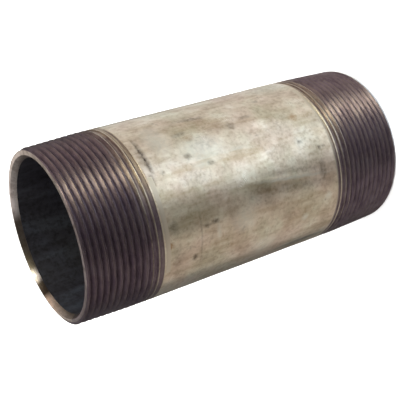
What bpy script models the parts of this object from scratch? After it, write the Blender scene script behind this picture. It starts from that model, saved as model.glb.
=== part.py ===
# Pipe nipple: a short length of galvanised steel pipe with a right-hand taper pipe thread cut on each end.
# Metres, +Z up. It stands on its lower end face, with its axis on Z and the origin at the centre of that face.

from math import atan2, ceil, cos, hypot, radians, sin, tan, tau

import bmesh
import bpy

INCH = 0.0254

# Pipe
LENGTH = 0.127                    # end face to end face, 5 inches
OUTER_DIAMETER = 0.060325         # 2 inch nominal pipe
WALL = 0.003912                   # schedule 40
NOSE_CHAMFER = 0.0012             # 45 degree chamfer from the outside onto each end face
REAM_WIDTH = 0.0012               # the reamer's cut at each mouth of the bore, across and along
REAM_LENGTH = 0.0019

# Taper pipe thread, with the flats and the run-out that a die leaves
THREADS_PER_INCH = 11.5
PITCH = INCH / THREADS_PER_INCH
THREAD_FLAT = 0.00016             # width of the flat on each crest and in each root
FLANK_ANGLE = radians(30)         # of each flank to a plane across the axis
TAPER = 1 / 32                    # growth of the radius along the axis
FIRST_CREST = 0.0002              # depth of the first crest below the top face, on the -Y side
SPARE_TURNS = 2                   # of thread wound beyond each end face, for the facing cut to take off

COLUMNS = 48                      # facets round the pipe

# The standard's own rules for the thread, from the pipe's diameter and the pitch
END_PITCH_DIAMETER = OUTER_DIAMETER - (0.05 * OUTER_DIAMETER / INCH + 1.1) * PITCH
FULL_THREAD = (0.8 * OUTER_DIAMETER / INCH + 6.8) * PITCH
RUN_OUT = 3.47 * PITCH

THREAD_HEIGHT = (PITCH / 2 - THREAD_FLAT) / tan(FLANK_ANGLE)
END_CREST_RADIUS = (END_PITCH_DIAMETER + THREAD_HEIGHT) / 2
OUTER_RADIUS = OUTER_DIAMETER / 2
BORE_RADIUS = OUTER_RADIUS - WALL

JOIN = 2e-6                       # points closer than this are one point
SAME_PLANE = radians(0.1)         # faces closer to one plane than this are one face
SHARP_EDGE = radians(20)          # edges that turn by more than this look sharp


def make_collection(name):
    collection = bpy.data.collections.new(name)
    bpy.context.scene.collection.children.link(collection)
    return collection


def make_metal(name, color, roughness):
    metal = bpy.data.materials.new(name)
    metal.use_nodes = True
    shader = metal.node_tree.nodes["Principled BSDF"]
    shader.inputs["Base Color"].default_value = (*color, 1)
    shader.inputs["Metallic"].default_value = 1
    shader.inputs["Roughness"].default_value = roughness
    metal.diffuse_color = (*color, 1)
    return metal


# An outline of points (radius, height), turned about Z. With a rise it climbs as it turns, as a thread does.
def make_turned(name, outline, closed, turns, rise, collection):
    edges = [(index, index + 1) for index in range(len(outline) - 1)]
    if closed:
        edges.append((len(outline) - 1, 0))
    mesh = bpy.data.meshes.new(name)
    mesh.from_pydata([(radius, 0, height) for radius, height in outline], edges, [])
    turned = bpy.data.objects.new(name, mesh)
    collection.objects.link(turned)
    screw = turned.modifiers.new("Turn", "SCREW")
    screw.axis = "Z"
    screw.angle = tau
    screw.screw_offset = rise
    screw.iterations = turns
    screw.steps = COLUMNS
    screw.render_steps = COLUMNS
    screw.use_merge_vertices = False
    weld = turned.modifiers.new("Join turns", "WELD")
    weld.merge_threshold = JOIN
    apply_modifiers(turned)
    return turned


def apply_modifiers(item):
    depsgraph = bpy.context.evaluated_depsgraph_get()
    mesh = bpy.data.meshes.new_from_object(item.evaluated_get(depsgraph))
    rough_mesh = item.data
    item.modifiers.clear()
    item.data = mesh
    bpy.data.meshes.remove(rough_mesh)


# Height of the middle of one groove, at an angle round the pipe.
def groove_height(angle):
    front = -tau / 4
    return LENGTH - FIRST_CREST - PITCH / 2 + PITCH * (angle - front) / tau


# Distance from the end whose thread this height is in.
def die_travel(height):
    return min(height, LENGTH - height)


# Radius of the run-out, where the die's lead lifts the root until the groove comes out of the pipe.
def run_out_radius(travel):
    full_root = END_CREST_RADIUS + FULL_THREAD * TAPER - THREAD_HEIGHT
    return full_root + (OUTER_RADIUS - full_root) * (travel - FULL_THREAD) / RUN_OUT


# Takes a point of the straight thread to its place on the pipe. The flanks stay those of the full thread, and the
# pipe's own outside and the run-out cut them short.
def lay_on_taper(point):
    step = round(atan2(point.y, point.x) * COLUMNS / tau)
    angle = step * tau / COLUMNS
    on_crest = hypot(point.x, point.y) > END_CREST_RADIUS - THREAD_HEIGHT / 2
    groove = groove_height(angle)
    groove += PITCH * round((point.z - groove) / PITCH)
    side = 1 if point.z > groove else -1
    travel = die_travel(groove)
    cone = END_CREST_RADIUS + travel * TAPER
    crest = min(cone, OUTER_RADIUS)
    root = cone - THREAD_HEIGHT
    radius = crest if on_crest else min(max(root, run_out_radius(travel)), crest)
    half_width = THREAD_FLAT / 2 + (min(radius, cone) - root) * tan(FLANK_ANGLE)
    point.x = radius * cos(angle)
    point.y = radius * sin(angle)
    point.z = groove + side * half_width


# A solid bar, a little longer than the pipe, with the thread of both ends on it.
def make_threaded_bar(collection):
    half_root = THREAD_FLAT / 2
    half_mouth = PITCH / 2 - THREAD_FLAT / 2
    root_radius = END_CREST_RADIUS - THREAD_HEIGHT
    turns = ceil(LENGTH / PITCH) + 2 * SPARE_TURNS
    first_groove = groove_height(0) - PITCH * (turns - SPARE_TURNS)
    thread_form = [
        (END_CREST_RADIUS, first_groove - half_mouth),
        (root_radius, first_groove - half_root),
        (root_radius, first_groove + half_root),
        (END_CREST_RADIUS, first_groove + half_mouth),
        (END_CREST_RADIUS, first_groove + PITCH - half_mouth),
    ]
    bar = make_turned("pipe_nipple", thread_form, False, turns, PITCH, collection)
    bm = bmesh.new()
    bm.from_mesh(bar.data)
    for vert in bm.verts:
        lay_on_taper(vert.co)
    bmesh.ops.remove_doubles(bm, verts=bm.verts, dist=JOIN)
    bmesh.ops.dissolve_limit(bm, verts=bm.verts, edges=bm.edges, angle_limit=SAME_PLANE)
    for height, outward in ((-PITCH / 2, -1), (LENGTH + PITCH / 2, 1)):
        cut = bmesh.ops.bisect_plane(bm, geom=bm.verts[:] + bm.edges[:] + bm.faces[:], clear_outer=True,
                                     plane_co=(0, 0, height), plane_no=(0, 0, outward))
        rim = [item for item in cut["geom_cut"] if isinstance(item, bmesh.types.BMEdge)]
        bmesh.ops.contextual_create(bm, geom=rim)
    bmesh.ops.recalc_face_normals(bm, faces=bm.faces)
    bm.to_mesh(bar.data)
    bm.free()
    return bar


# What the lathe leaves: the faced ends, their chamfers and the reamed bore, clear of the threads outside.
def make_turned_form(collection):
    face_radius = OUTER_RADIUS - NOSE_CHAMFER
    clear_radius = OUTER_RADIUS + NOSE_CHAMFER
    clear_depth = clear_radius - face_radius
    mouth_radius = BORE_RADIUS + REAM_WIDTH
    section = [
        (face_radius, LENGTH),
        (clear_radius, LENGTH - clear_depth),
        (clear_radius, clear_depth),
        (face_radius, 0),
        (mouth_radius, 0),
        (BORE_RADIUS, REAM_LENGTH),
        (BORE_RADIUS, LENGTH - REAM_LENGTH),
        (mouth_radius, LENGTH),
    ]
    form = make_turned("turned_form", section, True, 1, 0, collection)
    form.hide_render = True
    form.display_type = "WIRE"
    return form


# Zinc stays on the uncut outside and in the bore: everything else was cut after the pipe was galvanised.
def finish_surface(pipe, zinc, cut_steel):
    bm = bmesh.new()
    bm.from_mesh(pipe.data)
    bmesh.ops.remove_doubles(bm, verts=bm.verts, dist=JOIN)
    bmesh.ops.dissolve_degenerate(bm, edges=bm.edges, dist=JOIN)
    for face in bm.faces:
        radii = [hypot(vert.co.x, vert.co.y) for vert in face.verts]
        coated = min(radii) > OUTER_RADIUS - JOIN or max(radii) < BORE_RADIUS + JOIN
        face.material_index = 0 if coated else 1
    bm.to_mesh(pipe.data)
    bm.free()
    pipe.data.materials.clear()
    pipe.data.materials.append(zinc)
    pipe.data.materials.append(cut_steel)
    pipe.data.shade_smooth()
    pipe.data.set_sharp_from_angle(angle=SHARP_EDGE)


def main():
    for item in list(bpy.data.objects):
        bpy.data.objects.remove(item)
    parts = make_collection("pipe_nipple")
    cutters = make_collection("cutters")
    zinc = make_metal("zinc_coating", (0.42, 0.38, 0.33), 0.42)
    cut_steel = make_metal("cut_steel", (0.12, 0.09, 0.09), 0.38)

    pipe = make_threaded_bar(parts)
    turning = pipe.modifiers.new("Turning and boring", "BOOLEAN")
    turning.operation = "INTERSECT"
    turning.solver = "EXACT"
    turning.object = make_turned_form(cutters)
    apply_modifiers(pipe)
    finish_surface(pipe, zinc, cut_steel)


main()
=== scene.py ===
from math import atan2, ceil, cos, degrees, exp, floor, hypot, radians, sin, tan, tau
from random import Random

import bpy
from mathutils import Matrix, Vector, noise


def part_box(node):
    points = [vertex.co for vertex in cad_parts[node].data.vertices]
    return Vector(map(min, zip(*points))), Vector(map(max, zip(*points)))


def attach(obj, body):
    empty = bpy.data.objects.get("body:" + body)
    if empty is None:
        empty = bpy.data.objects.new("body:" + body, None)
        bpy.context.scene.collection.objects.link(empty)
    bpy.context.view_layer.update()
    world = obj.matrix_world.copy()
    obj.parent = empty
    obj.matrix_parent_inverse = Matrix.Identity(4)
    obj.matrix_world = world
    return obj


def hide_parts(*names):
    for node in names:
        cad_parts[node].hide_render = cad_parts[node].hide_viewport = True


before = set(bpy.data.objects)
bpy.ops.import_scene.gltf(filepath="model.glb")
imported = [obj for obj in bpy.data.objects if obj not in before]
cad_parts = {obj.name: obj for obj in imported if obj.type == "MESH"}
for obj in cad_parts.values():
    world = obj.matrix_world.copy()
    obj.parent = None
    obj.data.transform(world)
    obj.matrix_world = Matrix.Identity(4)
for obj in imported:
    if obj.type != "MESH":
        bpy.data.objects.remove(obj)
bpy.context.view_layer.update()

bpy.context.scene.view_settings.view_transform = "Standard"
mm = 0.001
onePoint = 1e-6                  # points nearer than this are joined
oneLevel = 1e-7                  # heights nearer than this are the same


# selects one piece alone and makes it the active one
def pick(piece):
    bpy.ops.object.select_all(action="DESELECT")
    bpy.context.view_layer.objects.active = piece
    piece.select_set(True)


def startEdit(piece):
    pick(piece)
    bpy.ops.object.mode_set(mode="EDIT")
    bpy.ops.mesh.select_all(action="SELECT")


def endEdit():
    bpy.ops.object.mode_set(mode="OBJECT")


# selects the edges that lie at one of these heights, which are the open rims of a sheet
def selectLoops(piece, heights):
    startEdit(piece)
    bpy.ops.mesh.select_mode(type="EDGE")
    bpy.ops.mesh.select_all(action="DESELECT")
    endEdit()
    points = piece.data.vertices
    for edge in piece.data.edges:
        ends = [points[index].co.z for index in edge.vertices]
        edge.select = any(abs(ends[0] - height) + abs(ends[1] - height) < oneLevel for height in heights)
    bpy.ops.object.mode_set(mode="EDIT")


# the pipe
nipple = {
    "wall": 3.912 * mm,
    "noseChamfer": 1.2 * mm,
    "reamWidth": 1.2 * mm,
    "reamLength": 1.9 * mm,
    "pitch": 25.4 * mm / 11.5,
    "threadFlat": 0.16 * mm,
    "flankAngle": 30,
    "taper": 1 / 32,             # growth of the radius along the axis
    "firstCrest": 0.2 * mm,      # below the top face, on the side towards the camera
    "crestWear": 0.12 * mm,      # rubbed off the crests
    "crestRound": 0.12 * mm,
    "columns": 264,              # facets round the threads
    "turnedColumns": 256,        # and round the faces, the chamfers and the bore
    "ringSpacing": 0.62 * mm,    # between the rings of the plain barrel
    "sharpAngle": 35,            # faces that turn by more meet in a sharp edge
}
# how the die ran at each end: the extra thread, and how unevenly it ran out round the pipe
dieBottom = {"overrun": 1 * mm, "wobble": 1 * mm, "side": -115}
dieTop = {"overrun": -0.4 * mm, "wobble": 0.9 * mm, "side": -130}
# the zinc that the dies smeared over their run-outs, a little all round, with a painted sheen on it that is
# strongest on the side that faces the streak panel
smearAndSheen = {"side": -35, "gain": 3.5, "start": 1.6, "least": 0.15}
# the zinc left where the last grooves begin, from half way along the run-out
zincLeft = {"gain": 3, "start": 1.5}

inch = 25.4 * mm
pitch = nipple["pitch"]
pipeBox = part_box("pipe_nipple")
length = pipeBox[1][2] - pipeBox[0][2]
outerRadius = (pipeBox[1][0] - pipeBox[0][0]) / 2
boreRadius = outerRadius - nipple["wall"]
slope = tan(radians(nipple["flankAngle"]))
threadHeight = (pitch / 2 - nipple["threadFlat"]) / slope
pitchDiameter = 2 * outerRadius - (0.05 * 2 * outerRadius / inch + 1.1) * pitch
endCrestRadius = (pitchDiameter + threadHeight) / 2
fullThread = (0.8 * 2 * outerRadius / inch + 6.8) * pitch
runOut = 3.47 * pitch


# height of the middle of a groove at an angle round the pipe
def grooveHeight(angle):
    front = -tau / 4
    return length - nipple["firstCrest"] - pitch / 2 + pitch * (angle - front) / tau


# where one corner of the thread lies, by the height of its groove's middle, its side of the groove
# and its name from crest to root
def threadPoint(angle, groove, side, corner):
    die = dieTop if groove > length / 2 else dieBottom
    travel = min(groove, length - groove) - die["overrun"]
    cone = endCrestRadius + travel * nipple["taper"]
    crest = min(cone - nipple["crestWear"], outerRadius)
    root = cone - threadHeight
    fullRoot = endCrestRadius + fullThread * nipple["taper"] - threadHeight
    lift = travel - fullThread - die["wobble"] * cos(angle - radians(die["side"]))
    # the die's lead slopes, so a groove runs out sooner on the side towards the barrel: found in two rounds
    bottom = root
    for attempt in range(2):
        inward = side * (nipple["threadFlat"] / 2 + (bottom - root) * slope) * (1 if die is dieBottom else -1)
        bottom = min(max(root, fullRoot + (outerRadius - fullRoot) * (lift + inward) / runOut), crest)
    rounding = min(nipple["crestRound"], (crest - bottom) * slope / 2)
    mouth = nipple["threadFlat"] / 2 + (crest - root) * slope
    if corner == "crest":
        radius, offset = crest, mouth + rounding
    elif corner == "shoulder":
        radius, offset = crest - rounding, mouth - rounding * slope / 2
    else:
        radius, offset = bottom, nipple["threadFlat"] / 2 + (bottom - root) * slope
    return Vector((radius * cos(angle), radius * sin(angle), groove + side * offset))


# one end's thread: a flat grid wound round the pipe, with six rows of its points to each turn
def windThread(name, lowest, highest):
    corners = [(-1, "crest"), (-1, "shoulder"), (-1, "root"), (1, "root"), (1, "shoulder"), (1, "crest")]
    columns = nipple["columns"]
    # with turns to spare beyond both heights, for the cuts below to take off
    firstTurn = floor((lowest - grooveHeight(0)) / pitch) - 1
    rows = (ceil((highest - lowest) / pitch) + 3) * len(corners)
    bpy.ops.object.select_all(action="DESELECT")
    bpy.ops.mesh.primitive_grid_add(x_subdivisions=columns, y_subdivisions=rows - 1, size=1)
    sheet = bpy.context.object
    sheet.name = name
    # the flat grid goes from -0.5 to 0.5
    for vert in sheet.data.vertices:
        column = round((vert.co.x + 0.5) * columns)
        turn, corner = divmod(round((vert.co.y + 0.5) * (rows - 1)), len(corners))
        angle = tau * column / columns
        groove = grooveHeight(angle) + pitch * (firstTurn + turn)
        vert.co = threadPoint(angle % tau, groove, *corners[corner])
    startEdit(sheet)
    bpy.ops.mesh.remove_doubles(threshold=onePoint)
    for height, side in ((lowest, -1), (highest, 1)):
        bpy.ops.mesh.select_all(action="SELECT")
        bpy.ops.mesh.bisect(
            plane_co=(0, 0, height), plane_no=(0, 0, side), clear_outer=True, threshold=oneLevel)
    endEdit()
    return sheet


# the lathe's work: both end faces, their chamfers and the reamed bore, as a ring drawn round its own section
def turnEnds():
    face = outerRadius - nipple["noseChamfer"]
    clear = 2 * nipple["noseChamfer"]
    mouth = boreRadius + nipple["reamWidth"]
    section = [
        (mouth, 0),
        (boreRadius, nipple["reamLength"]),
        (boreRadius, length - nipple["reamLength"]),
        (mouth, length),
        (face, length),
        (face + clear, length - clear),
        (face + clear, clear),
        (face, 0),
        (mouth, 0),
    ]
    bpy.ops.object.select_all(action="DESELECT")
    bpy.ops.mesh.primitive_circle_add(
        vertices=nipple["turnedColumns"], radius=section[0][0], location=(0, 0, 0))
    form = bpy.context.object
    startEdit(form)
    for (radius, height), (nextRadius, nextHeight) in zip(section, section[1:]):
        bpy.ops.mesh.extrude_edges_move(TRANSFORM_OT_translate={"value": (0, 0, nextHeight - height)})
        growth = nextRadius / radius
        bpy.ops.transform.resize(value=(growth, growth, 1), center_override=(0, 0, nextHeight))
    bpy.ops.mesh.select_all(action="SELECT")
    bpy.ops.mesh.remove_doubles(threshold=onePoint)
    bpy.ops.mesh.normals_make_consistent(inside=False)
    endEdit()
    return form


def makeNipple():
    print("nipple: winding the threads")
    spare = 1.5 * pitch
    barrelLow = fullThread + runOut + dieBottom["overrun"] + dieBottom["wobble"] + spare
    barrelHigh = length - fullThread - runOut - dieTop["overrun"] - dieTop["wobble"] - spare
    ends = (-pitch / 2, length + pitch / 2)
    piece = windThread("threaded_nipple", ends[0], barrelLow)
    upper = windThread("upper_thread", barrelHigh, ends[1])

    print("nipple: joining them with the plain barrel")
    bpy.ops.object.select_all(action="DESELECT")
    upper.select_set(True)
    piece.select_set(True)
    bpy.context.view_layer.objects.active = piece
    bpy.ops.object.join()
    selectLoops(piece, (barrelLow, barrelHigh))
    rings = round((barrelHigh - barrelLow) / nipple["ringSpacing"])
    bpy.ops.mesh.bridge_edge_loops(number_cuts=rings, interpolation="LINEAR")
    endEdit()
    for height in ends:
        selectLoops(piece, (height,))
        bpy.ops.mesh.edge_face_add()
        endEdit()
    startEdit(piece)
    bpy.ops.mesh.normals_make_consistent(inside=False)
    endEdit()

    print("nipple: facing, chamfering and boring")
    form = turnEnds()
    pick(piece)
    turning = piece.modifiers.new("Turning and boring", "BOOLEAN")
    turning.operation = "INTERSECT"
    turning.solver = "EXACT"
    turning.object = form
    bpy.ops.object.modifier_apply(modifier=turning.name)
    pick(form)
    bpy.ops.object.delete()
    startEdit(piece)
    bpy.ops.mesh.remove_doubles(threshold=2 * onePoint)
    bpy.ops.mesh.dissolve_degenerate(threshold=2 * onePoint)
    endEdit()
    return piece


threaded = makeNipple()
print("nipple:", len(threaded.data.vertices), "points,", len(threaded.data.polygons), "faces")


# the zinc coat: size across and height of each kind of its unevenness
coat = {
    "lumps": (13 * mm, 0.07 * mm),
    "ripples": (4.5 * mm, 0.026 * mm),
    "runs": (5 * mm, 0.035 * mm),        # drips that froze along the pipe
    "runStretch": 9,
    "ridge": {"top": (67, -95.3), "foot": (30, -104.3), "halfWidth": 1.1 * mm, "rise": 0.14 * mm},
    "pitDepth": 0.04 * mm,               # under a dark mark
    "landShade": 0.7,                       # how dark the lands between the die's last grooves are painted, least on the side that faces the streak panel: painted shade
}
# marks by kind: height in mm, angle, half length along the pipe and half width round it in mm, turn, strength
marks = {
    "darkMark": [
        (83.6, -67.7, 1.5, 1.2, 0, 0.75),
        (41.4, -79.3, 1.2, 1.1, 0, 0.6),
        (34.3, -86.2, 1.1, 1.0, 0, 0.6),
        (32.7, -86.0, 0.9, 0.9, 0, 0.5),
        (33.7, -80.2, 0.9, 0.9, 0, 0.45),
        (46.8, -38.9, 1.6, 1.3, 0, 0.35),
        (76.6, -75.7, 1.7, 1.0, 0, 0.55),
        (94.3, -73.7, 1.0, 1.0, 0, 0.5),
        (81.0, -110.9, 1.8, 1.2, 0, 0.6),
        (84.1, -111.9, 1.8, 0.9, 0, 0.5),
        (88.8, -131.3, 1.4, 1.7, 20, 0.6),
        (96.3, -106.7, 2.2, 2.6, 0, 0.45),
        (62.3, -102.3, 7.0, 4.5, 0, 0.25),
        (35.2, -101.0, 1.7, 5.0, 0, 0.4),
        (74.0, -39.8, 6.5, 0.9, 6, 0.4),
        (82.0, -51.0, 3.6, 1.1, -8, 0.45),
        (55.7, -50.9, 3.2, 1.0, 0, 0.35),
        (62.9, -55.2, 2.2, 2.0, 0, 0.4),
        (40.5, -157.0, 13.0, 1.8, 0, 0.6),
        (98.0, -59.5, 0.75, 8.6, 0, 0.85),
        (98.3, -75.5, 0.6, 2.6, 0, 0.6),
        (86.5, -118.0, 0.5, 11.0, 0, 0.28),
        # these two are painted shade along both sides of the ridge
        (48.0, -95.8, 16.0, 1.6, 7, 0.3),
        (48.0, -105.4, 16.0, 2.0, 7, 0.22),
        (38.5, -79.0, 7.0, 5.5, 0, 0.26),    # from here on broad and faint, where the skin is only duller
        (52.0, -81.0, 9.0, 3.5, 0, 0.2),
        (45.0, -90.0, 15.0, 4.0, 4, 0.17),
        (46.0, -63.0, 7.0, 4.5, 0, 0.19),
        (76.5, -61.5, 7.0, 3.5, 0, 0.2),
        (84.0, -81.5, 7.0, 3.5, 0, 0.22),
        (61.0, -107.0, 6.0, 3.5, 0, 0.15),
        (95.5, -126.0, 3.0, 5.0, 0, 0.22),
        (84.0, -145.0, 15.0, 10.0, 0, 0.1),
        (36.0, -25.0, 10.0, 6.0, 0, 0.15),
    ],
    "paleMark": [
        (77.7, -65.8, 10.0, 7.0, 0, 0.3),
        (80.0, -75.9, 5.0, 0.8, 0, 0.4),
        (41.4, -79.3, 2.6, 2.4, 0, 0.3),
        (33.4, -119.5, 1.8, 1.8, 0, 0.5),
        (43.1, -130.7, 1.8, 1.8, 0, 0.5),
        (69.8, -116.7, 6.0, 5.0, 0, 0.35),
        (79.7, -119.0, 1.0, 3.6, 0, 0.4),
        # a painted highlight along the crest of the ridge
        (48.0, -100.0, 18.0, 0.6, 7, 0.5),
        (66.0, -78.0, 8.0, 4.5, 0, 0.45),
        (90.5, -50.0, 5.0, 8.0, 0, 0.3),
        (60.0, -143.0, 9.0, 6.0, 0, 0.2),
    ],
    "rustMark": [
        (98.2, -117.7, 1.3, 1.5, 0, 0.9),
        (79.9, -55.5, 2.4, 1.8, 0, 0.35),
        (38.8, -61.2, 2.2, 2.2, 0, 0.4),
        (38.8, -17.5, 3.5, 2.4, 0, 0.3),
        (99.9, -72.5, 1.0, 5.0, 0, 0.45),
    ],
}


# more of the same on the side that the photograph doesn't show, in mm and degrees as above
scatter = {
    "seed": 11,
    "counts": {"darkMark": 38, "paleMark": 14, "rustMark": 8},
    "heights": (28, 98),
    "angles": (-10, 190),
    "sizes": (0.8, 2.4),
    "stretches": (0.8, 2.4),             # half length over half width
    "turns": (-20, 20),
    "strengths": (0.3, 0.65),
}


def scatterMarks():
    chance = Random(scatter["seed"])
    for name, count in scatter["counts"].items():
        for number in range(count):
            size = chance.uniform(*scatter["sizes"])
            height = chance.uniform(*scatter["heights"])
            angle = chance.uniform(*scatter["angles"])
            stretch = chance.uniform(*scatter["stretches"])
            turn = chance.uniform(*scatter["turns"])
            strength = chance.uniform(*scatter["strengths"])
            marks[name].append((height, angle, size * stretch, size, turn, strength))


# 1 at the middle of a mark, falling to 0 at its rim
def markAt(mark, angle, height):
    markHeight, markAngle, halfLength, halfWidth, turn, strength = mark
    along = height / mm - markHeight
    across = ((degrees(angle) - markAngle + 180) % 360 - 180) * tau / 360 * outerRadius / mm
    if max(abs(along), abs(across)) > max(halfLength, halfWidth):
        return 0
    lean = radians(turn)
    lengthwise = (along * cos(lean) + across * sin(lean)) / halfLength
    crosswise = (across * cos(lean) - along * sin(lean)) / halfWidth
    return strength * max(0, 1 - lengthwise ** 2 - crosswise ** 2)


# how far the zinc stands proud of the pipe's round
def coatHeight(place, angle, height, darkness):
    size, rise = coat["lumps"]
    proud = noise.noise(place / size) * rise
    size, rise = coat["ripples"]
    proud += noise.noise(place / size) * rise
    size, rise = coat["runs"]
    proud += noise.noise(Vector((place.x, place.y, place.z / coat["runStretch"])) / size) * rise
    ridge = coat["ridge"]
    (topHeight, topAngle), (footHeight, footAngle) = ridge["top"], ridge["foot"]
    share = (topHeight - height / mm) / (topHeight - footHeight)
    if 0 < share < 1:
        across = radians(degrees(angle) - topAngle - (footAngle - topAngle) * share) * outerRadius
        proud += ridge["rise"] * exp(-((across / ridge["halfWidth"]) ** 2)) * sin(share * tau / 2) ** 0.5
    return proud - coat["pitDepth"] * darkness


# moves the zinc's points off the round, and writes what the finishes follow onto every point
def layCoat(piece):
    print("nipple: zinc coat and marks")
    scatterMarks()
    names = ("grooveDepth", "smearAndSheenShare", "emerging", *marks)
    values = {name: [] for name in names}
    hair = 0.002 * mm
    for vert in piece.data.vertices:
        height = vert.co.z
        radius = hypot(vert.co.x, vert.co.y)
        angle = atan2(vert.co.y, vert.co.x)
        die = dieTop if height > length / 2 else dieBottom
        travel = min(height, length - height) - die["overrun"]
        cone = min(endCrestRadius + travel * nipple["taper"] - nipple["crestWear"], outerRadius)
        lift = travel - fullThread - die["wobble"] * cos(angle - radians(die["side"]))
        values["grooveDepth"].append(max(0, cone - radius) / mm)
        # a painted sheen: the share of smeared zinc is highest on the side that faces the streak panel
        smearAndSheenShare = smearAndSheen["gain"] * cos(angle - radians(smearAndSheen["side"])) - smearAndSheen["start"]
        smearAndSheenShare = min(max(smearAndSheenShare, smearAndSheen["least"]), 1)
        values["smearAndSheenShare"].append(smearAndSheenShare * min(max(lift / runOut, 0), 1))
        begun = lift / runOut * zincLeft["gain"] - zincLeft["start"]
        values["emerging"].append(min(max(begun, 0), 1))
        uncut = radius > outerRadius - hair
        for name, kind in marks.items():
            values[name].append(max(markAt(mark, angle, height) for mark in kind) if uncut else 0)
        # painted shade on the lands between the last grooves, least where the sheen above is painted
        if uncut and lift < runOut - pitch / 2:
            paintedLandShade = coat["landShade"] * (1 - smearAndSheenShare) * min((runOut - pitch / 2 - lift) / pitch, 1)
            values["darkMark"][-1] = max(values["darkMark"][-1], paintedLandShade)
        if uncut:
            proud = coatHeight(vert.co, angle, height, values["darkMark"][-1])
            vert.co.x *= 1 + proud / radius
            vert.co.y *= 1 + proud / radius
    for name in names:
        piece.data.attributes.new(name, "FLOAT", "POINT").data.foreach_set("value", values[name])


# finishes

# the shader's linear colour for an sRGB hex one
def colour(hexValue):
    channels = [int(hexValue[start:start + 2], 16) / 255 for start in (0, 2, 4)]
    linear = [value / 12.92 if value <= 0.04045 else ((value + 0.055) / 1.055) ** 2.4 for value in channels]
    return linear + [1]


def newMaterial(name):
    material = bpy.data.materials.new(name)
    material.use_nodes = True
    return material, material.node_tree.nodes["Principled BSDF"]


# adds one node: its settings, its sockets' values and links, and the stops of a ramp
def addNode(material, kind, settings=None, sockets=None, stops=None):
    node = material.node_tree.nodes.new(kind)
    for name, value in (settings or {}).items():
        setattr(node, name, value)
    for name, value in (sockets or {}).items():
        if isinstance(value, bpy.types.NodeSocket):
            material.node_tree.links.new(value, node.inputs[name])
        else:
            node.inputs[name].default_value = value
    for index, (place, value) in enumerate(stops or []):
        ramp = node.color_ramp.elements
        stop = ramp[index] if index < len(ramp) else ramp.new(place)
        stop.position = place
        stop.color = colour(value)
    return node


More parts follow.
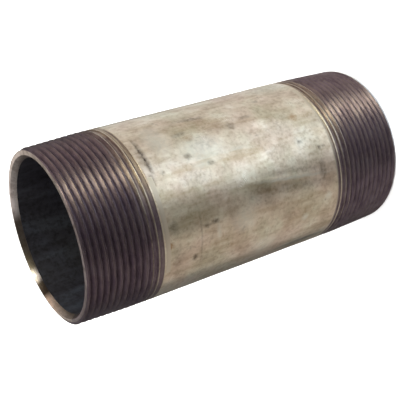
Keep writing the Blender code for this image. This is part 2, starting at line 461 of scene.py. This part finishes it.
# hot-dip galvanised steel: zinc that froze in a dull, blotchy skin, with faint runs along the pipe and
# stains, and painted highlight and shade on the ridge and the run-out lands
def makeZinc():
    material, shader = newMaterial("hot_dip_zinc")
    place = addNode(material, "ShaderNodeTexCoord").outputs["Object"]
    drawn = addNode(material, "ShaderNodeMapping", sockets={
        "Vector": place, "Scale": (1, 1, 0.2)}).outputs["Vector"]

    blotches = addNode(material, "ShaderNodeTexNoise", sockets={
        "Vector": place, "Scale": 1 / (8 * mm), "Detail": 4, "Roughness": 0.62}).outputs["Fac"]
    tone = addNode(material, "ShaderNodeValToRGB", sockets={"Fac": blotches}, stops=[
        (0.3, "cbbdad"), (0.5, "e3d6c7"), (0.7, "f3ebe0")]).outputs["Color"]
    clouds = addNode(material, "ShaderNodeTexNoise", {"noise_dimensions": "4D"}, {
        "Vector": place, "W": 2.4, "Scale": 1 / (11 * mm), "Detail": 3}).outputs["Fac"]
    tint = addNode(material, "ShaderNodeValToRGB", sockets={"Fac": clouds}, stops=[
        (0.36, "fff8f2"), (0.5, "fffdf4"), (0.64, "f8fcf0")]).outputs["Color"]
    tone = addNode(material, "ShaderNodeMixRGB", {"blend_type": "MULTIPLY"}, {
        "Fac": 1, "Color1": tone, "Color2": tint}).outputs["Color"]

    runs = addNode(material, "ShaderNodeTexNoise", sockets={
        "Vector": drawn, "Scale": 1 / (4 * mm), "Detail": 4, "Roughness": 0.6}).outputs["Fac"]
    shade = addNode(material, "ShaderNodeValToRGB", sockets={"Fac": runs}, stops=[
        (0.34, "d4cbba"), (0.54, "ffffff")]).outputs["Color"]
    tone = addNode(material, "ShaderNodeMixRGB", {"blend_type": "MULTIPLY"}, {
        "Fac": 0.65, "Color1": tone, "Color2": shade}).outputs["Color"]

    # spangle is finer than this on pipe, and is drawn at the smallest size that shows
    spangle = addNode(material, "ShaderNodeTexNoise", sockets={
        "Vector": place, "Scale": 1 / (1.3 * mm), "Detail": 2, "Roughness": 0.6}).outputs["Fac"]
    fleck = addNode(material, "ShaderNodeValToRGB", sockets={"Fac": spangle}, stops=[
        (0.3, "d6cec6"), (0.5, "f8f8f8"), (0.62, "ffffff")]).outputs["Color"]
    tone = addNode(material, "ShaderNodeMixRGB", {"blend_type": "MULTIPLY"}, {
        "Fac": 0.6, "Color1": tone, "Color2": fleck}).outputs["Color"]
    dirt = addNode(material, "ShaderNodeTexNoise", {"noise_dimensions": "4D"}, {
        "Vector": place, "W": 7.1, "Scale": 1 / (2.4 * mm), "Detail": 3}).outputs["Fac"]
    speck = addNode(material, "ShaderNodeMapRange", sockets={
        "Value": dirt, "From Min": 0.66, "From Max": 0.76, "To Max": 0.4}).outputs["Result"]
    tone = addNode(material, "ShaderNodeMixRGB", sockets={
        "Fac": speck, "Color1": tone, "Color2": colour("6c6052")}).outputs["Color"]

    ragged = addNode(material, "ShaderNodeMapRange", sockets={
        "Value": spangle, "From Min": 0.35, "From Max": 0.65,
        "To Min": 1.3, "To Max": 0.7}).outputs["Result"]
    # the marks are stains, and along the ridge and on the run-out lands painted highlight and shade
    for name, markColour in (("paleMark", "f0f1e4"), ("rustMark", "96662e"), ("darkMark", "433a32")):
        mark = addNode(material, "ShaderNodeAttribute", {"attribute_name": name}).outputs["Fac"]
        amount = addNode(material, "ShaderNodeMath", {"operation": "MULTIPLY", "use_clamp": True}, {
            0: mark, 1: ragged}).outputs["Value"]
        tone = addNode(material, "ShaderNodeMixRGB", sockets={
            "Fac": amount, "Color1": tone, "Color2": colour(markColour)}).outputs["Color"]

    matt = addNode(material, "ShaderNodeMapRange", sockets={
        "Value": blotches, "From Min": 0.3, "From Max": 0.7,
        "To Min": 0.38, "To Max": 0.27}).outputs["Result"]
    bump = addNode(material, "ShaderNodeBump", sockets={
        "Height": spangle, "Strength": 1, "Distance": 0.012 * mm}).outputs["Normal"]
    for name, value in (("Base Color", tone), ("Roughness", matt), ("Normal", bump)):
        material.node_tree.links.new(value, shader.inputs[name])
    shader.inputs["Metallic"].default_value = 1
    return material


# low-carbon steel cut by a die: bare, darkened by its oil, and torn into fine lines along the grooves
def makeCutSteel():
    material, shader = newMaterial("die_cut_steel")
    place = addNode(material, "ShaderNodeTexCoord").outputs["Object"]
    wound = addNode(material, "ShaderNodeMapping", sockets={
        "Vector": place, "Scale": (0.12, 0.12, 1)}).outputs["Vector"]
    depth = addNode(material, "ShaderNodeAttribute", {"attribute_name": "grooveDepth"}).outputs["Fac"]
    smearAndSheenShare = addNode(material, "ShaderNodeAttribute", {"attribute_name": "smearAndSheenShare"}).outputs["Fac"]

    tears = addNode(material, "ShaderNodeTexNoise", sockets={
        "Vector": wound, "Scale": 1 / (0.5 * mm), "Detail": 3, "Roughness": 0.7}).outputs["Fac"]
    patches = addNode(material, "ShaderNodeTexNoise", sockets={
        "Vector": place, "Scale": 1 / (6 * mm), "Detail": 4, "Roughness": 0.65}).outputs["Fac"]
    # the tone changes a little from crest to root, 1.6 mm down, at a depth that wanders by a quarter of a mm;
    # the roots are painted lighter, against the shade in the grooves
    wander = addNode(material, "ShaderNodeMapRange", sockets={
        "Value": patches, "From Min": 0.35, "From Max": 0.65,
        "To Min": 0.15, "To Max": -0.1}).outputs["Result"]
    level = addNode(material, "ShaderNodeMath", {"operation": "ADD"}, {0: depth, 1: wander}).outputs["Value"]
    share = addNode(material, "ShaderNodeMapRange", sockets={
        "Value": level, "From Max": 1.6}).outputs["Result"]
    tone = addNode(material, "ShaderNodeValToRGB", sockets={"Fac": share}, stops=[
        (0.05, "9a8d8e"), (0.3, "988b94"), (0.6, "9a8d97"), (0.95, "ac9fa8")]).outputs["Color"]
    # zinc that the die dragged round in thin bright lines before it cut through, painted brightest as sheen
    # on the side that faces the streak panel
    lines = addNode(material, "ShaderNodeMapping", sockets={
        "Vector": place, "Scale": (0.05, 0.05, 1)}).outputs["Vector"]
    dragged = addNode(material, "ShaderNodeTexNoise", sockets={
        "Vector": lines, "Scale": 1 / (1.1 * mm), "Detail": 3, "Roughness": 0.7}).outputs["Fac"]
    zincLines = addNode(material, "ShaderNodeValToRGB", sockets={"Fac": dragged}, stops=[
        (0.38, "7a6a5e"), (0.5, "c0ac90"), (0.6, "f0e2be")]).outputs["Color"]
    zincShare = addNode(material, "ShaderNodeMath", {"operation": "MULTIPLY"}, {
        0: smearAndSheenShare, 1: 0.85}).outputs["Value"]
    tone = addNode(material, "ShaderNodeMixRGB", sockets={
        "Fac": zincShare, "Color1": tone, "Color2": zincLines}).outputs["Color"]
    oil = addNode(material, "ShaderNodeValToRGB", sockets={"Fac": patches}, stops=[
        (0.34, "d4cad2"), (0.52, "f6f0ee"), (0.68, "ffffff")]).outputs["Color"]
    tone = addNode(material, "ShaderNodeMixRGB", {"blend_type": "MULTIPLY"}, {
        "Fac": 0.8, "Color1": tone, "Color2": oil}).outputs["Color"]
    # the thread is darker towards the top end
    heights = addNode(material, "ShaderNodeSeparateXYZ", sockets={"Vector": place}).outputs["Z"]
    upper = addNode(material, "ShaderNodeMapRange", sockets={
        "Value": heights, "From Min": 0, "From Max": length, "To Max": 0.9}).outputs["Result"]
    tone = addNode(material, "ShaderNodeMixRGB", {"blend_type": "MULTIPLY"}, {
        "Fac": upper, "Color1": tone, "Color2": colour("dad6d8")}).outputs["Color"]
    torn = addNode(material, "ShaderNodeValToRGB", sockets={"Fac": tears}, stops=[
        (0.34, "b4aeac"), (0.56, "ffffff")]).outputs["Color"]
    tone = addNode(material, "ShaderNodeMixRGB", {"blend_type": "MULTIPLY"}, {
        "Fac": 0.5, "Color1": tone, "Color2": torn}).outputs["Color"]
    # where a groove only begins, most of the zinc is still there
    emerging = addNode(material, "ShaderNodeAttribute", {"attribute_name": "emerging"}).outputs["Fac"]
    shallow = addNode(material, "ShaderNodeMapRange", sockets={
        "Value": depth, "From Min": 0.02, "From Max": 0.15,
        "To Min": 1, "To Max": 0}).outputs["Result"]
    kept = addNode(material, "ShaderNodeMath", {"operation": "MULTIPLY"}, {
        0: shallow, 1: emerging}).outputs["Value"]
    tone = addNode(material, "ShaderNodeMixRGB", sockets={
        "Fac": kept, "Color1": tone, "Color2": colour("d6cab6")}).outputs["Color"]

    matt = addNode(material, "ShaderNodeMapRange", sockets={
        "Value": patches, "From Min": 0.3, "From Max": 0.7,
        "To Min": 0.5, "To Max": 0.4}).outputs["Result"]
    around = addNode(material, "ShaderNodeTangent", {
        "direction_type": "RADIAL", "axis": "Z"}).outputs["Tangent"]
    bump = addNode(material, "ShaderNodeBump", sockets={
        "Height": tears, "Strength": 1, "Distance": 0.02 * mm}).outputs["Normal"]
    for name, value in (("Base Color", tone), ("Roughness", matt), ("Normal", bump), ("Tangent", around)):
        material.node_tree.links.new(value, shader.inputs[name])
    shader.inputs["Metallic"].default_value = 0.97
    # rough across the die's marks and smooth along them
    shader.inputs["Anisotropic"].default_value = 0.75
    shader.inputs["Anisotropic Rotation"].default_value = 0.25
    return material


# the same steel faced and reamed: fine tool rings and stains, with painted sheen, shade and a glint round the
# ring
def makeEndSteel():
    material, shader = newMaterial("faced_end_steel")
    place = addNode(material, "ShaderNodeTexCoord").outputs["Object"]
    parts = addNode(material, "ShaderNodeSeparateXYZ", sockets={"Vector": place}).outputs
    bearing = addNode(material, "ShaderNodeMath", {"operation": "ARCTAN2"}, {
        0: parts["Y"], 1: parts["X"]}).outputs["Value"]
    turned = addNode(material, "ShaderNodeMath", {"operation": "MULTIPLY_ADD"}, {
        0: bearing, 1: 1 / tau, 2: 0.5}).outputs["Value"]
    flat = addNode(material, "ShaderNodeMapping", sockets={
        "Vector": place, "Scale": (1, 1, 0)}).outputs["Vector"]
    radius = addNode(material, "ShaderNodeVectorMath", {"operation": "LENGTH"}, {0: flat}).outputs["Value"]

    # painted sheen and shade of the facing marks in sectors round the ring, with a painted glint at 0.822,
    # from the side away from +X and back to it
    sheenSectors = addNode(material, "ShaderNodeValToRGB", sockets={"Fac": turned}, stops=[
        (0, "9a9092"), (0.06, "7a6a6e"), (0.2, "807478"), (0.28, "8a7a78"), (0.33, "8c8278"),
        (0.42, "b4a89e"), (0.52, "f8ece2"), (0.67, "fff6ee"), (0.7, "82766c"), (0.8, "786e64"),
        (0.822, "f4e8f0"), (0.84, "544a44"), (0.868, "504640"), (0.885, "f4dccc"), (0.94, "f4e4d8"),
        (0.98, "ccc0b6")]).outputs["Color"]
    # the outer edge is painted lighter, as a highlight along it
    rim = addNode(material, "ShaderNodeMapRange", sockets={
        "Value": radius, "From Min": 27.6 * mm, "From Max": 28.9 * mm, "To Max": 0.45}).outputs["Result"]
    tone = addNode(material, "ShaderNodeMixRGB", sockets={
        "Fac": rim, "Color1": sheenSectors, "Color2": colour("d2c6ba")}).outputs["Color"]
    scuffs = addNode(material, "ShaderNodeTexNoise", sockets={
        "Vector": place, "Scale": 1 / (2.5 * mm), "Detail": 4, "Roughness": 0.65}).outputs["Fac"]
    markColour = addNode(material, "ShaderNodeValToRGB", sockets={"Fac": scuffs}, stops=[
        (0.36, "b4aca6"), (0.55, "ffffff")]).outputs["Color"]
    tone = addNode(material, "ShaderNodeMixRGB", {"blend_type": "MULTIPLY"}, {
        "Fac": 0.5, "Color1": tone, "Color2": markColour}).outputs["Color"]

    # a facing feed of 0.2 mm would not show, so its rings are 0.4 mm apart
    ring = addNode(material, "ShaderNodeMath", {"operation": "MULTIPLY"}, {
        0: radius, 1: tau / (0.4 * mm)}).outputs["Value"]
    wave = addNode(material, "ShaderNodeMath", {"operation": "SINE"}, {0: ring}).outputs["Value"]
    bump = addNode(material, "ShaderNodeBump", sockets={
        "Height": wave, "Strength": 0.6, "Distance": 0.004 * mm}).outputs["Normal"]
    matt = addNode(material, "ShaderNodeMapRange", sockets={
        "Value": scuffs, "From Min": 0.35, "From Max": 0.65,
        "To Min": 0.46, "To Max": 0.3}).outputs["Result"]
    around = addNode(material, "ShaderNodeTangent", {
        "direction_type": "RADIAL", "axis": "Z"}).outputs["Tangent"]
    for name, value in (("Base Color", tone), ("Roughness", matt), ("Normal", bump), ("Tangent", around)):
        material.node_tree.links.new(value, shader.inputs[name])
    shader.inputs["Metallic"].default_value = 1
    shader.inputs["Anisotropic"].default_value = 0.35
    shader.inputs["Anisotropic Rotation"].default_value = 0.25
    return material


# the inside of the pipe: the same zinc, streaked along the bore, its colour painted dark blue-grey as the
# shade inside the pipe
def makeBoreZinc():
    material, shader = newMaterial("bore_zinc_painted_dark")
    place = addNode(material, "ShaderNodeTexCoord").outputs["Object"]
    drawn = addNode(material, "ShaderNodeMapping", sockets={
        "Vector": place, "Scale": (1, 1, 0.15)}).outputs["Vector"]
    streaks = addNode(material, "ShaderNodeTexNoise", sockets={
        "Vector": drawn, "Scale": 1 / (5 * mm), "Detail": 5, "Roughness": 0.6}).outputs["Fac"]
    tone = addNode(material, "ShaderNodeValToRGB", sockets={"Fac": streaks}, stops=[
        (0.32, "1c1a1e"), (0.5, "28272c"), (0.68, "35373c")]).outputs["Color"]
    crust = addNode(material, "ShaderNodeTexNoise", sockets={
        "Vector": place, "Scale": 1 / (1.6 * mm), "Detail": 4, "Roughness": 0.7}).outputs["Fac"]
    spots = addNode(material, "ShaderNodeValToRGB", sockets={"Fac": crust}, stops=[
        (0.36, "8a8078"), (0.54, "ffffff")]).outputs["Color"]
    tone = addNode(material, "ShaderNodeMixRGB", {"blend_type": "MULTIPLY"}, {
        "Fac": 0.7, "Color1": tone, "Color2": spots}).outputs["Color"]
    matt = addNode(material, "ShaderNodeMapRange", sockets={
        "Value": streaks, "From Min": 0.3, "From Max": 0.7,
        "To Min": 0.6, "To Max": 0.42}).outputs["Result"]
    bump = addNode(material, "ShaderNodeBump", sockets={
        "Height": crust, "Strength": 1, "Distance": 0.05 * mm}).outputs["Normal"]
    for name, value in (("Base Color", tone), ("Roughness", matt), ("Normal", bump)):
        material.node_tree.links.new(value, shader.inputs[name])
    shader.inputs["Metallic"].default_value = 0.45
    return material


def dressNipple(piece):
    print("nipple: finishes")
    piece.data.materials.clear()
    for material in (makeZinc(), makeCutSteel(), makeEndSteel(), makeBoreZinc()):
        piece.data.materials.append(material)
    zinc, cutSteel, endSteel, boreZinc = range(4)
    hair = 0.02 * mm
    points = piece.data.vertices
    for face in piece.data.polygons:
        radii = [hypot(points[index].co.x, points[index].co.y) for index in face.vertices]
        heights = [points[index].co.z for index in face.vertices]
        fromEnd = max(min(height, length - height) for height in heights)
        face.material_index = cutSteel
        if max(radii) < boreRadius + hair:
            face.material_index = boreZinc
        elif max(radii) < boreRadius + nipple["reamWidth"] + hair or fromEnd < hair:
            face.material_index = endSteel
        elif min(radii) > outerRadius - hair:
            face.material_index = zinc
    pick(piece)
    bpy.ops.object.shade_smooth_by_angle(angle=radians(nipple["sharpAngle"]))


dressNipple(threaded)
layCoat(threaded)
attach(threaded, "root")
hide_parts("pipe_nipple")


# studio
studio = {
    "floorRadius": 1.8,
    "floorSweep": 0.9,           # radius of the paper's upward curve
    "floorFacets": 96,
    "sweepSteps": 12,
    "world": 0.165,
    # name: azimuth and elevation of its middle seen from the pipe, distance, width, height, radiance, colour
    "panels": {
        "key_panel": (-61, -25, 0.9, 0.95, 1.1, 0.98, "e9f5ff"),
        "core_panel": (-66, -25, 0.9, 0.28, 1.1, 0.4, "eef8ff"),
        "top_panel": (16, -25, 0.9, 1.6, 1.1, 0.63, "ffffff"),
        "front_panel": (-112, -25, 0.9, 0.5, 1.1, 0.15, "ffffff"),
        "low_panel": (-171, -25, 0.9, 1.15, 1.1, 0.36, "fff2e6"),
        "side_panel": (28, 42, 0.9, 1.0, 0.5, 0.74, "ffe9d8"),
        "streak_panel": (-33, 50, 0.9, 0.2, 0.36, 13, "f6f4d2"),
        "back_panel": (-178, 46, 0.9, 0.9, 0.35, 0.38, "fff0f4"),
        "end_panel": (90, 26, 0.9, 0.45, 0.35, 0.62, "fff6f0"),
        "mouth_panel": (-23, 24, 0.9, 0.1, 0.1, 160, "d4e6ff"),
        "floor_panel": (90, 89, 1.6, 2.2, 2.2, 5.0, "ffffff"),
    },
}
middle = Vector((0, 0, length / 2))


# white background paper: matt, with a faint cloudiness of its pulp
def makePaper():
    material, shader = newMaterial("floor_paper")
    place = addNode(material, "ShaderNodeTexCoord").outputs["Object"]
    pulp = addNode(material, "ShaderNodeTexNoise", sockets={
        "Vector": place, "Scale": 1 / (6 * mm), "Detail": 3}).outputs["Fac"]
    tone = addNode(material, "ShaderNodeValToRGB", sockets={"Fac": pulp}, stops=[
        (0.3, "eeeeec"), (0.7, "f6f6f6")]).outputs["Color"]
    material.node_tree.links.new(tone, shader.inputs["Base Color"])
    shader.inputs["Roughness"].default_value = 0.9
    return material


def makeFloor():
    print("studio: floor")
    bpy.ops.object.select_all(action="DESELECT")
    bpy.ops.mesh.primitive_circle_add(
        vertices=studio["floorFacets"], radius=studio["floorRadius"], fill_type="NGON")
    ground = bpy.context.object
    ground.name = "floor"
    startEdit(ground)
    hair = 1e-4
    steps = studio["sweepSteps"]
    sweep = studio["floorSweep"]
    radius = studio["floorRadius"]
    for step in range(steps):
        before = tau / 4 * step / steps
        after = tau / 4 * (step + 1) / steps
        bpy.ops.mesh.select_all(action="DESELECT")
        endEdit()
        outermost = max(hypot(vert.co.x, vert.co.y) for vert in ground.data.vertices)
        highest = max(vert.co.z for vert in ground.data.vertices)
        for edge in ground.data.edges:
            ends = [ground.data.vertices[index].co for index in edge.vertices]
            atRim = [hypot(end.x, end.y) > outermost - hair and end.z > highest - hair for end in ends]
            edge.select = all(atRim)
        bpy.ops.object.mode_set(mode="EDIT")
        rise = sweep * (cos(before) - cos(after))
        nextRadius = radius + sweep * (sin(after) - sin(before))
        bpy.ops.mesh.extrude_edges_move(TRANSFORM_OT_translate={"value": (0, 0, rise)})
        growth = nextRadius / radius
        bpy.ops.transform.resize(value=(growth, growth, 1), center_override=(0, 0, 0))
        radius = nextRadius
    bpy.ops.mesh.select_all(action="SELECT")
    bpy.ops.mesh.normals_make_consistent(inside=True)
    endEdit()
    bpy.ops.object.shade_smooth()
    ground.data.materials.append(makePaper())
    # some panels hang lower than the floor, so it holds no light from the pipe and doesn't show in its shine
    ground.visible_glossy = False
    ground.visible_shadow = False


def hangPanel(name, azimuth, elevation, distance, width, height, radiance, tint):
    bearing, climb = radians(azimuth), radians(elevation)
    offset = Vector((cos(climb) * cos(bearing), cos(climb) * sin(bearing), sin(climb)))
    place = middle + distance * offset
    bpy.ops.object.select_all(action="DESELECT")
    bpy.ops.object.light_add(type="AREA", location=place)
    panel = bpy.context.object
    panel.name = name
    panel.rotation_euler = (middle - place).to_track_quat("-Z", "Y").to_euler()
    panel.data.shape = "RECTANGLE"
    panel.data.size = width
    panel.data.size_y = height
    panel.data.energy = radiance * width * height * tau / 2    # watts for that radiance
    panel.data.color = colour(tint)[:3]
    panel.visible_camera = False
    panel.visible_glossy = name not in ("floor_panel", "mouth_panel")    # these two only light


def makeStudio():
    makeFloor()
    print("studio: panels and camera")
    for name, panel in studio["panels"].items():
        hangPanel(name, *panel)
    world = bpy.data.worlds.new("studio")
    bpy.context.scene.world = world
    world.use_nodes = True
    world.node_tree.nodes["Background"].inputs["Color"].default_value = (1, 1, 1, 1)
    world.node_tree.nodes["Background"].inputs["Strength"].default_value = studio["world"]


# the camera stands where the photograph's did, which its outlines give: metres, degrees and mm of lens
view = {
    "place": (0.00102, -0.25429, 0.21105),
    "turn": (-31.2666, 56.1755, -122.1393),
    "lens": 73.711,
    "shift": 0.1,
}


def placeCamera():
    bpy.ops.object.select_all(action="DESELECT")
    bpy.ops.object.camera_add(location=view["place"], rotation=[radians(angle) for angle in view["turn"]])
    camera = bpy.context.object
    camera.data.lens = view["lens"]
    camera.data.sensor_width = 36
    camera.data.shift_y = view["shift"]
    camera.data.clip_start = 0.01
    bpy.context.scene.camera = camera


makeStudio()
placeCamera()
